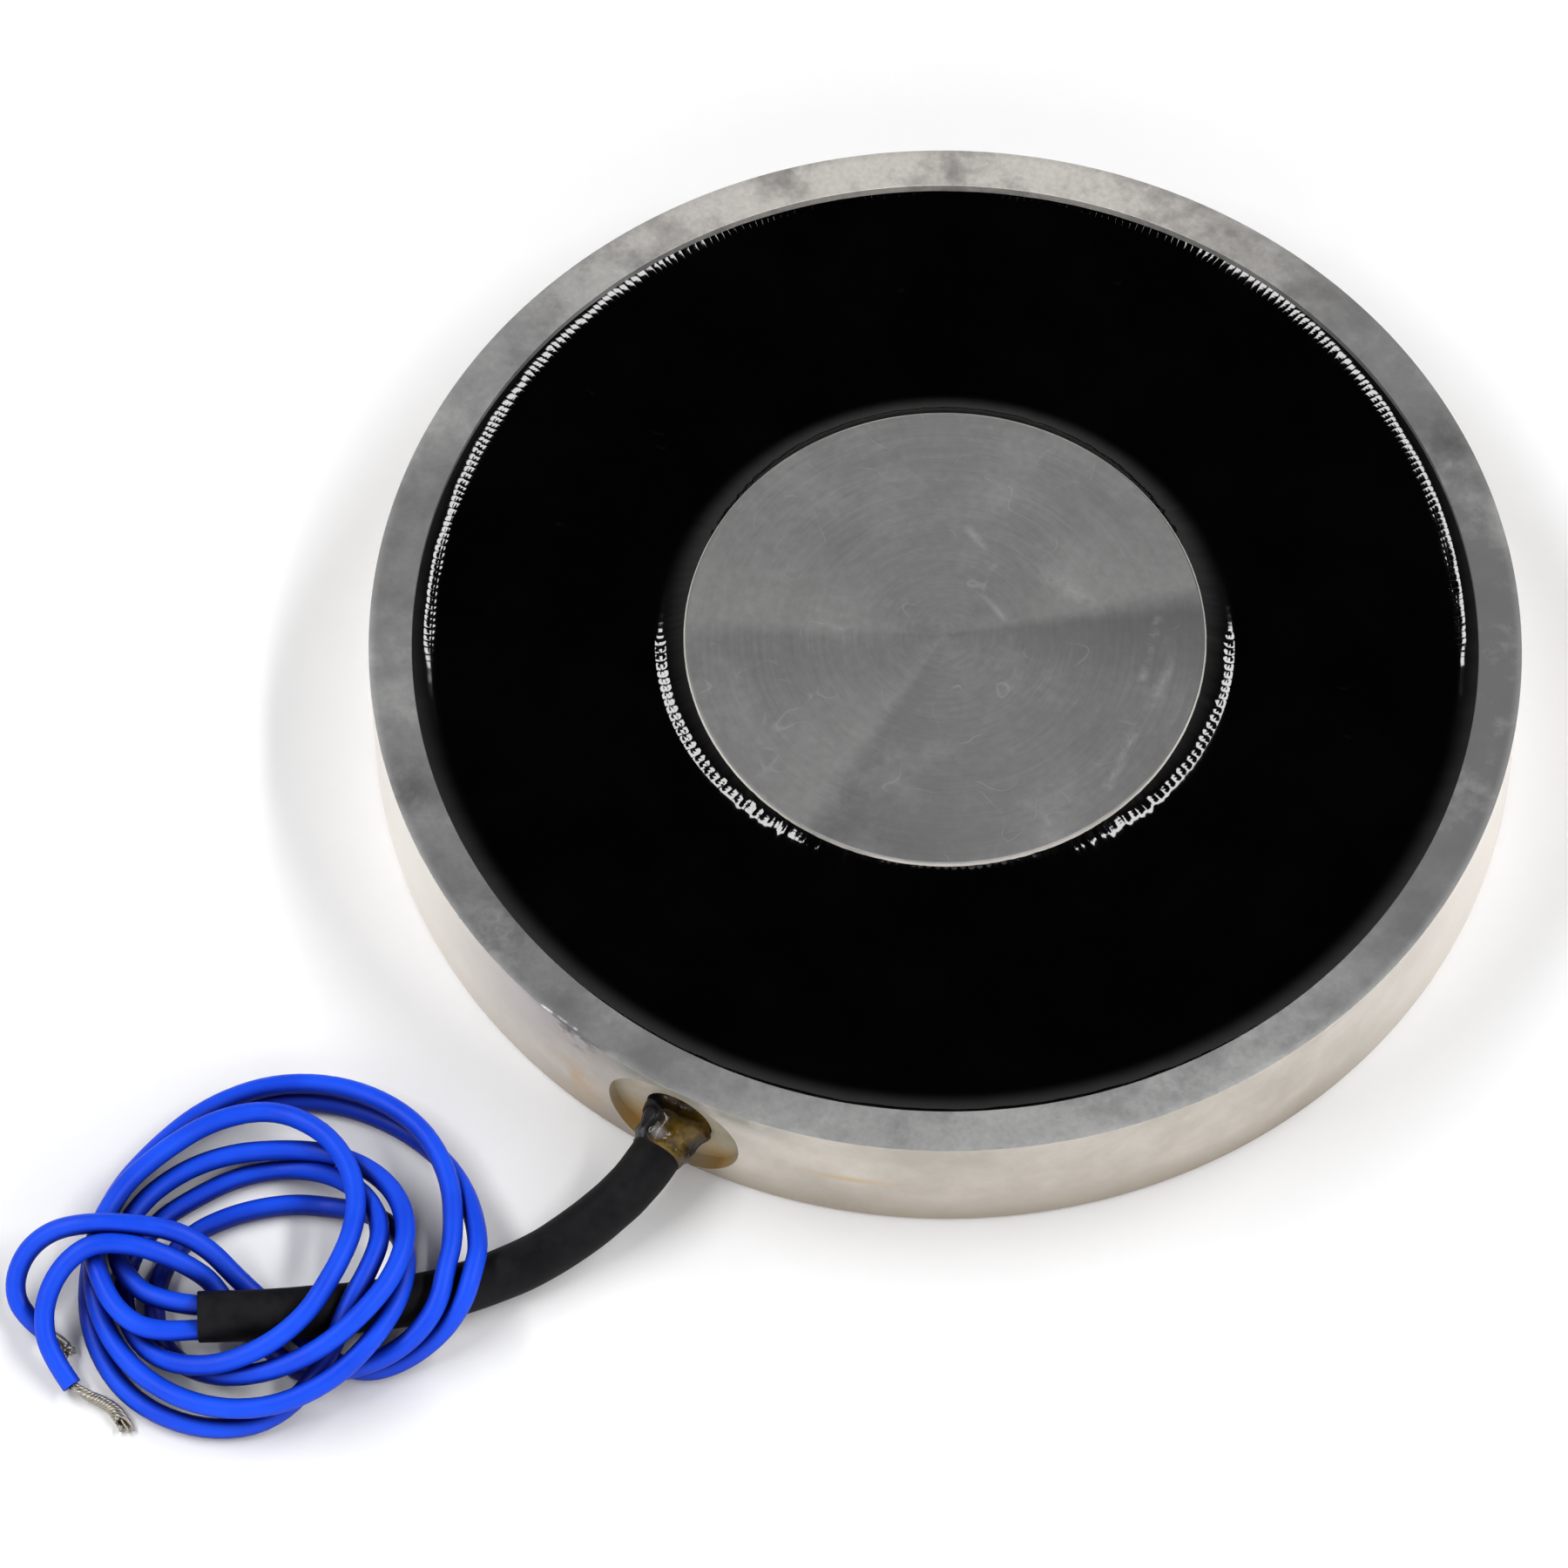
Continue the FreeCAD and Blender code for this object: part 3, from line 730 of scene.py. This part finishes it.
def makePot():
    rows = threadRows() + rimRows() + grooveRows() + poleRows()
    body = lathe("potShell", rows, pot["finishes"], pot["segments"])
    bores = [(pot["spotRadius"], pot["spotLift"], pot["radius"] - pot["spotDepth"]),
             (pot["exitRadius"], pot["exitLift"], pot["exitEnd"])]
    for bore, lift, start in bores:
        cutter = exitCutter(bore, lift, start)
        tool = body.modifiers.new("exit", "BOOLEAN")
        tool.operation = "DIFFERENCE"
        tool.object = cutter
        tool.solver = "EXACT"
        settle(body)
        bpy.data.objects.remove(cutter)
    body.data.set_sharp_from_angle(angle=math.radians(28))
    return body


potShell = attach(makePot(), "plated_steel", "pot_body")
print("pot", len(potShell.data.polygons))


# Resin, drawn up along pole and rim

resin = {
    "inner": pot["pole"], "outer": pot["rimInner"], "foot": pot["base"], "corner": pot["corner"],
    "level": 9.27, "coilOuter": 33.6, "coilTop": 8.75,
    # reach of the drawn-up edges, their slope at the wall, and how both change towards the back or front
    "poleHollow": 2.9, "poleNarrow": 0.2, "poleSteep": 0.24,
    "rimHollow": 2.4, "rimNarrow": 0.4, "rimSteep": 0.1,
    "slope": 0.7, "ripple": 0.05, "segments": 720, "bankSteps": 30, "flatSteps": 32,
    "pinholes": [(26.5, 167.2), (25.8, 168.8), (28.8, -172.3), (32.3, 168.0), (27.9, 21.2), (28.8, 13.7),
                 (29.6, 123.6), (32.5, 95.2)],  # radius, degrees
    "pinSize": 0.35, "pinDepth": 0.22,
}


def bankHeight(away, hollow, narrow, steepBack, steepFront, seed):
    # height at a distance from the wall; the hollow is narrower at the back, and steeper there or in front
    def at(angle):
        back = max(0.0, math.sin(angle - turn))
        front = max(0.0, -math.sin(angle - turn))
        reach = hollow * (1 - narrow * back)
        run = max(reach - away, 0.0)
        slope = resin["slope"] * (1 + steepBack * back + steepFront * front)
        rise = slope * run * run / (2 * reach)
        uneven = wobble(angle, 26.0, seed) + 0.6 * wobble(angle, 70.0, seed + 4)
        return resin["level"] + rise * (1 + resin["ripple"] * uneven)
    return at


def resinRows():
    inner, outer, foot, corner = resin["inner"], resin["outer"], resin["foot"], resin["corner"]
    atPole, atRim, steps = resin["poleHollow"], resin["rimHollow"], resin["bankSteps"]
    flat = outer - inner - atPole - atRim
    rows = [(resin["coilOuter"], resin["coilTop"], 0), (resin["coilOuter"], foot, 0)]
    rows += [(outer - corner, foot, 0), (outer, foot + corner, 0)]
    for i in range(steps + 1):
        away = atRim * i / steps
        height = bankHeight(away, atRim, resin["rimNarrow"], 0.0, resin["rimSteep"], outer)
        rows.append((outer - away, height, 0))
    for i in range(1, resin["flatSteps"]):
        rows.append((outer - atRim - flat * i / resin["flatSteps"], resin["level"], 0))
    for i in range(steps, -1, -1):
        away = atPole * i / steps
        height = bankHeight(away, atPole, resin["poleNarrow"], resin["poleSteep"], 0.0, inner)
        rows.append((inner + away, height, 0))
    return rows + [(inner, resin["coilTop"], 0)]


def makeResin():
    obj = lathe("resinRing", resinRows(), ("epoxy",), resin["segments"], closed=True)
    obj.data.set_sharp_from_angle(angle=math.radians(55))
    pins = []
    for radius, degrees in resin["pinholes"]:
        angle = math.radians(degrees)
        pins.append((radius * math.cos(angle), radius * math.sin(angle)))
    for vertex in obj.data.vertices:
        x, y, z = vertex.co / mm
        if z > resin["level"] - 0.01:
            for px, py in pins:
                off = math.hypot(x - px, y - py) / resin["pinSize"]
                if off < 1:
                    vertex.co.z -= resin["pinDepth"] * mm * (1 - off * off)
    return obj


resinRing = attach(makeResin(), "black_resin", "potting_resin")
print("resin", len(resinRing.data.polygons))


# Glue in the lead hole

glue = {
    # distance out, height of the middle, radius
    "rings": [(37.0, 4.6, 2.48), (37.6, 4.6, 2.48), (38.2, 4.6, 2.46), (38.6, 4.55, 2.44), (38.95, 4.5, 2.4),
              (39.3, 4.4, 2.32), (39.7, 4.3, 2.24), (40.1, 4.2, 2.16), (40.5, 4.12, 2.08), (40.9, 4.05, 2.0),
              (41.3, 4.0, 1.92), (41.6, 3.97, 1.84), (41.8, 3.95, 1.78), (41.95, 3.93, 1.7)],
    "segments": 96, "lump": 0.4, "freeFrom": 38.6, "freeOver": 0.6,
    "sink": 1.3, "sinkOut": 38.8, "sinkReach": 1.0,
}


def makeGlue():
    # plug in the hole that swells to a lumpy collar, sunk at the top
    bm = bmesh.new()
    firstOut, firstMiddle, _ = glue["rings"][0]
    rings = [[bm.verts.new(Vector((0, -firstOut, firstMiddle)) * mm)]]
    for out, middle, radius in glue["rings"]:
        free = max(0.0, min(1.0, (out - glue["freeFrom"]) / glue["freeOver"]))
        ring = []
        for angle in anglesRound(glue["segments"]):
            lump = wobble(angle, 1.6, out * 1.1)
            lump += 0.5 * wobble(angle, 4.0, out * 2.3)
            upward = max(0.0, math.sin(angle)) ** 2
            dip = max(0.0, 1 - abs(out - glue["sinkOut"]) / glue["sinkReach"]) * glue["sink"] * upward
            reach = radius + glue["lump"] * lump * free - dip
            place = Vector((reach * math.cos(angle), -out, middle + reach * math.sin(angle)))
            ring.append(bm.verts.new(place * mm))
        rings.append(ring)
    for first, second in zip(rings, rings[1:]):
        stitch(bm, first, second)
    bm.faces.new(rings[-1])
    return makeObject("exitGlue", bm, ("amberGlue",))


exitGlue = attach(makeGlue(), "amber_glue", "exit_glue")
print("glue", len(exitGlue.data.polygons))


# Sleeve over both leads

sleeve = {
    "radius": 1.75, "segments": 40, "wall": 0.35, "bore": 2.0, "lip": 0.08, "rim": 0.05, "uneven": 0.025,
    "points": [(0.0, -38.0, 4.0), (0.0, -41.2, 4.0), (-0.6, -44.9, 3.25), (-2.2, -48.5, 2.25),
               (-4.3, -52.3, 1.75), (-7.4, -56.1, 1.75), (-9.7, -58.3, 1.9), (-13.3, -61.3, 2.5),
               (-17.5, -64.6, 3.5), (-21.6, -67.0, 3.6)],
}


def makeSleeve():
    line = pointsAlong([Vector(place) * mm for place in sleeve["points"]])
    bm = bmesh.new()

    def uneven(i, angle):
        place = Vector((i * 0.35, math.cos(angle) * 1.2, math.sin(angle) * 1.2))
        return 1 + sleeve["uneven"] * noise.noise(place)

    outer = tubeMesh(bm, line, sleeve["radius"] * mm, sleeve["segments"], uneven, caps=False)
    end = outer[-1]
    middle = sum((v.co for v in end), Vector()) / len(end)
    ahead = aheadAt(line, len(line) - 1)
    share = 1 - sleeve["wall"] / sleeve["radius"]
    lipShare = 1 - 0.25 * (1 - share)
    rings = [end]
    # rounded lip, cut edge and the bore's floor
    for size, shift in ((lipShare, sleeve["lip"]), (share, sleeve["rim"]), (share, -sleeve["bore"])):
        rings.append([bm.verts.new(middle + (v.co - middle) * size + ahead * shift * mm) for v in end])
    for first, second in zip(rings, rings[1:]):
        stitch(bm, first, second)
    bm.faces.new(rings[-1])
    bm.faces.new(outer[0])
    return makeObject("leadSleeve", bm, ("shrinkBlack",)), line


leadSleeve, sleeveLine = makeSleeve()
attach(leadSleeve, "black_sleeve", "lead_sleeve")
print("sleeve", len(leadSleeve.data.polygons))


# Two leads, wound together in loose turns

hank = {"centre": (-20.0, -60.0), "diameter": 1.4, "stations": 8}  # stations to a turn

# right, back and height from the hank's centre; turns hold (reach, height) at each station,
# from the left through the far side, the right and the front
lead1 = {
    "start": [(-2.6, -6.0, 3.6), (-4.0, -6.3, 3.6), (-5.7, -6.4, 3.6), (-7.3, -6.4, 3.6), (-8.9, -6.0, 3.6),
              (-10.3, -4.8, 3.6), (-11.3, -3.1, 3.6)],
    "turns": [
        [(12.3, 3.5), (10.4, 3.5), (10.4, 3.4), (7.5, 4.7), (5.6, 5.6), (5.7, 6.1), (8.3, 5.0), (11.2, 2.2)],
        [(10.0, 0.8), (7.3, 0.7), (7.1, 0.7), (7.2, 2.8), (7.6, 5.0), (7.5, 4.9), (12.2, 0.8), (14.0, 0.7)],
        [(12.6, 0.7), (12.0, 0.7), (12.5, 0.7), (13.5, 0.9), (14.2, 4.0)],
    ],
    "end": [(13.6, -3.0, 4.4), (13.0, -4.6, 3.7), (11.5, -6.2, 2.2), (9.2, -7.5, 1.0), (6.7, -8.3, 0.7),
            (4.2, -7.6, 0.7), (2.0, -5.5, 0.7), (-0.2, -3.5, 1.0), (-2.4, -1.7, 2.0), (-4.2, -0.2, 3.4),
            (-6.5, 0.7, 4.5), (-9.4, 0.9, 5.1), (-12.4, 1.0, 5.1), (-14.9, 0.8, 4.4), (-16.7, -0.3, 3.3),
            (-17.5, -2.2, 2.2), (-16.9, -4.0, 1.4), (-15.4, -5.0, 0.8)],
}
lead2 = {
    "start": [(-2.7, -4.7, 3.6), (-4.1, -4.6, 3.6), (-5.7, -4.4, 3.5), (-7.4, -3.9, 3.3), (-9.0, -3.0, 2.9)],
    "turns": [
        [(10.9, 2.2), (9.0, 2.0), (7.9, 2.1), (8.8, 3.0), (9.4, 5.5), (9.0, 5.9), (9.6, 3.6), (10.0, 0.9)],
        [(7.4, 0.7), (4.8, 0.7), (4.3, 0.7), (5.8, 0.8), (9.2, 4.0), (10.4, 4.6), (12.0, 2.9), (12.7, 2.1)],
        [(12.4, 2.1), (11.5, 2.1), (13.1, 2.1), (13.8, 2.7), (12.4, 4.4)],
    ],
    "end": [(11.9, -2.3, 4.5), (11.5, -4.5, 4.3), (10.5, -6.1, 3.6), (9.0, -7.3, 2.7), (6.8, -8.4, 2.3),
            (2.9, -8.9, 1.4), (0.9, -7.5, 0.7), (-0.8, -5.7, 0.7), (-2.5, -4.2, 0.9), (-3.9, -2.2, 2.1),
            (-5.2, -1.6, 3.2), (-7.1, -1.0, 4.2), (-9.4, -0.5, 4.9), (-11.9, -0.5, 5.1), (-13.6, -1.4, 4.5),
            (-14.8, -2.8, 3.6), (-15.4, -4.7, 2.6), (-15.0, -7.0, 1.6), (-13.4, -9.1, 0.8)],
}


def besideHank(right, back, height):
    return (Vector((*hank["centre"], 0)) + fromPicture(right, back, height)) * mm


def halfway(before, first, second, after):
    # smooth value between two stations
    return (9 * (first + second) - before - after) / 16


def coilPoints(turns):
    # two points for each station, round the hank's centre
    stations = [station for row in turns for station in row]
    step = 2 * math.pi / hank["stations"]
    found = []
    for i, (reach, height) in enumerate(stations):
        places = [(i, reach, height)]
        if i + 1 < len(stations):
            last = len(stations) - 1
            around = [stations[k] for k in (max(i - 1, 0), i, i + 1, min(i + 2, last))]
            places.append((i + 0.5, halfway(*(s[0] for s in around)), halfway(*(s[1] for s in around))))
        for count, r, z in places:
            angle = math.pi - step * count
            found.append(besideHank(r * math.cos(angle), r * math.sin(angle), max(z, hank["diameter"] / 2)))
    return found


def leadPoints(lead):
    start, end = ([besideHank(*place) for place in lead[key]] for key in ("start", "end"))
    return start + coilPoints(lead["turns"]) + end


# Bare strands at each lead's end

strands = {
    "count": 9, "fine": 0.13, "bundle": 0.27, "twist": 2.2, "segments": 8,
    # on from each lead's last point
    "tips": [[(-14.7, -5.4, 0.6), (-14.1, -5.9, 0.45), (-13.6, -6.6, 0.4)],
             [(-12.4, -9.7, 0.55), (-11.2, -10.2, 0.45), (-10.2, -11.0, 0.4), (-9.5, -12.4, 0.4)]],
}


def makeStrands(name, route):
    # fine wires twisted together, fraying towards the tip
    line = pointsAlong([besideHank(*place) for place in route])
    bm = bmesh.new()
    for k in range(strands["count"]):
        path = []
        for i, point in enumerate(line):
            share = i / (len(line) - 1)
            spread = strands["bundle"] * (0.8 + 0.7 * share * random.uniform(0.8, 1.1)) if k else 0.0
            angle = 2 * math.pi * (k / (strands["count"] - 1) + strands["twist"] * share)
            ahead = aheadAt(line, i)
            side = ahead.cross(Vector((0, 0, 1))).normalized()
            lift = side.cross(ahead)
            place = point + (side * math.cos(angle) + lift * math.sin(angle)) * spread * mm
            place.z = max(place.z, strands["fine"] * mm)
            path.append(place)
        last = random.randint(0, 3) if k else 0
        tubeMesh(bm, path[:len(path) - last], strands["fine"] * mm, strands["segments"])
    return makeObject(name, bm, ("tinnedStrand",))


for count, (lead, tipRoute) in enumerate(zip((lead1, lead2), strands["tips"]), 1):
    points = leadPoints(lead)
    wire = cordCurve(f"lead{count}", points, hank["diameter"] / 2 * mm)
    wire.data.materials.append(looks["blueWire"])
    attach(wire, "blue_wire", f"lead_end_{count}", "lead_hank")
    tip = makeStrands(f"strands{count}", lead["end"][-1:] + tipRoute)
    attach(tip, "tinned_strands", f"strand_tip_{count}")
    line = pointsAlong(points)


# What the resin hides keeps its CAD shape

inside = {
    "coil_bobbin": "nylon", "coil_winding": "copperTurns", "winding_tape": "yellowTape",
    "splice_sleeve_1": "shrinkBlack", "splice_sleeve_2": "shrinkBlack",
    "lead_root_1": "blueWire", "lead_root_2": "blueWire",
}
for node, look in inside.items():
    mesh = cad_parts[node].data
    mesh.materials.clear()
    mesh.materials.append(looks[look])
print("inside", len(inside))


# Floor, light and camera

studio = {
    "floorSize": 6.0, "floorColour": (0.93, 0.93, 0.94), "floorShade": 0.99,
    "boxReach": 1.0, "boxAims": [(-0.58, 0.11, 0.81), (0.58, 0.11, 0.81)],
    "boxSize": (0.11, 0.95), "boxPower": 6.0,
    "fillReach": 1.2, "fillAim": (0.0, -0.81, 0.59), "fillSize": (1.6, 0.5), "fillPower": 3.0,
    "skyBack": 0.4, "skyFront": 1.3, "skyHigh": 0.001,
}
camera = {
    "place": (134.89, -272.01, 539.01), "lens": 201.66, "sensor": 36.0, "near": 0.01,
    "tilt": 61.105, "roll": -0.45,  # degrees
}


def makeFloor():
    bm = bmesh.new()
    bmesh.ops.create_grid(bm, x_segments=8, y_segments=8, size=studio["floorSize"] / 2)
    mesh = bpy.data.meshes.new("floor")
    bm.to_mesh(mesh)
    bm.free()
    obj = bpy.data.objects.new("floor", mesh)
    bpy.context.scene.collection.objects.link(obj)
    n = Nodes("paper")
    grain = n.noise(300.0, 3.0)
    shade = tuple(part * studio["floorShade"] for part in studio["floorColour"])
    colour = n.mix(n.ramp(grain, 0.3, 0.7), studio["floorColour"], shade)
    mesh.materials.append(n.finish(colour, 0.9, None, {"Specular IOR Level": 0.1}))


def makeLamp(name, aim, reach, size, power):
    # flat lamp that faces the part, from a direction in picture axes
    toLamp = fromPicture(*aim).normalized()
    data = bpy.data.lights.new(name, "AREA")
    data.shape = "RECTANGLE"
    data.size, data.size_y = size
    data.energy = power
    lamp = bpy.data.objects.new(name, data)
    bpy.context.scene.collection.objects.link(lamp)
    across = fromPicture(0, 1, 0).cross(toLamp).normalized()
    along = toLamp.cross(across)
    facing = Matrix((across, along, toLamp)).transposed().to_4x4()
    lamp.matrix_world = Matrix.Translation(toLamp * reach) @ facing


def makeSky():
    # light horizon, brighter towards the front, under a dark top
    world = bpy.data.worlds.new("studio")
    bpy.context.scene.world = world
    world.use_nodes = True
    tree = world.node_tree
    direction = tree.nodes.new("ShaderNodeTexCoord").outputs["Generated"]

    def rangeOf(source, low, high, start, end):
        node = tree.nodes.new("ShaderNodeMapRange")
        node.interpolation_type = "SMOOTHSTEP"
        tree.links.new(source, node.inputs["Value"])
        for name, value in (("From Min", low), ("From Max", high), ("To Min", start), ("To Max", end)):
            node.inputs[name].default_value = value
        return node.outputs[0]

    split = tree.nodes.new("ShaderNodeSeparateXYZ")
    tree.links.new(direction, split.inputs[0])
    facing = tree.nodes.new("ShaderNodeVectorMath")
    facing.operation = "DOT_PRODUCT"
    tree.links.new(direction, facing.inputs[0])
    facing.inputs[1].default_value = fromPicture(0, -1, 0)
    level = tree.nodes.new("ShaderNodeMath")
    level.operation = "MULTIPLY_ADD"
    low = rangeOf(split.outputs[2], 0.15, 0.8, 1.0, 0.0)
    tree.links.new(low, level.inputs[0])
    bright = rangeOf(facing.outputs["Value"], -0.5, 0.7, studio["skyBack"], studio["skyFront"])
    tree.links.new(bright, level.inputs[1])
    level.inputs[2].default_value = studio["skyHigh"]
    background = tree.nodes["Background"]
    background.inputs["Color"].default_value = (1.0, 1.0, 1.0, 1.0)
    tree.links.new(level.outputs[0], background.inputs["Strength"])


def makeLights():
    for aim in studio["boxAims"]:
        makeLamp("softbox", aim, studio["boxReach"], studio["boxSize"], studio["boxPower"])
    makeLamp("fill", studio["fillAim"], studio["fillReach"], studio["fillSize"], studio["fillPower"])
    makeSky()


def makeCamera():
    data = bpy.data.cameras.new("camera")
    data.lens = camera["lens"]
    data.sensor_width = camera["sensor"]
    data.clip_start = camera["near"]
    obj = bpy.data.objects.new("camera", data)
    bpy.context.scene.collection.objects.link(obj)
    aim = Matrix.Rotation(turn, 4, "Z") @ Matrix.Rotation(math.radians(90 - camera["tilt"]), 4, "X")
    aim = aim @ Matrix.Rotation(math.radians(camera["roll"]), 4, "Z")
    obj.matrix_world = Matrix.Translation(Vector(camera["place"]) * mm) @ aim
    bpy.context.scene.camera = obj


makeFloor()
makeLights()
makeCamera()
print("studio", len(studio["boxAims"]) + 1, "lamps")
bpy.context.scene.view_settings.view_transform = "Standard"
print("scene ready")
